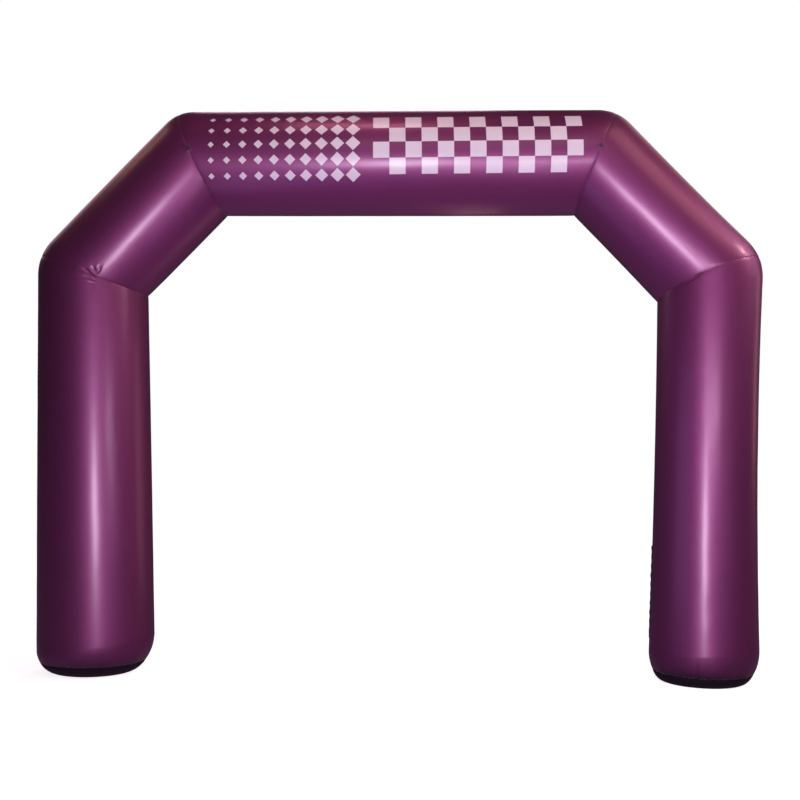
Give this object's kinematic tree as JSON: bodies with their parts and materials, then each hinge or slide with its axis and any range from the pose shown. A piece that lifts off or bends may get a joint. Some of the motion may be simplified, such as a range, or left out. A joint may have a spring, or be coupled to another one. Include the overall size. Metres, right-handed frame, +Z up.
{
  "type": "inflatable arch",
  "caption": "Free-standing air-filled cloth arch with mitred shoulders, black bases, sewn tether rings and a leg closure strip.",
  "frame": {"origin": "on the ground, midway between the outermost points of the arch in X and in Y", "axes": "+X from the left leg to the right leg as seen from the front, +Y through the passage towards the back, +Z up"},
  "size_m": [6.1202, 0.996, 4.7777],
  "materials": {
    "purple_cloth": "coated, satin",
    "black_cloth": "coated, matt",
    "black_webbing": "woven, matt",
    "dark_steel": "dark plated"
  },
  "bodies": {
    "root": {"leg_left": "purple_cloth", "shoulder_left": "purple_cloth", "crossbeam": "purple_cloth", "shoulder_right": "purple_cloth", "leg_right": "purple_cloth", "base_left": "black_cloth", "base_right": "black_cloth", "patch_left": "purple_cloth", "patch_right": "purple_cloth", "tab_left": "black_webbing", "tab_right": "black_webbing", "ring_left": "dark_steel", "ring_right": "dark_steel", "closure_strip": "black_webbing"}
  },
  "joints": []
}
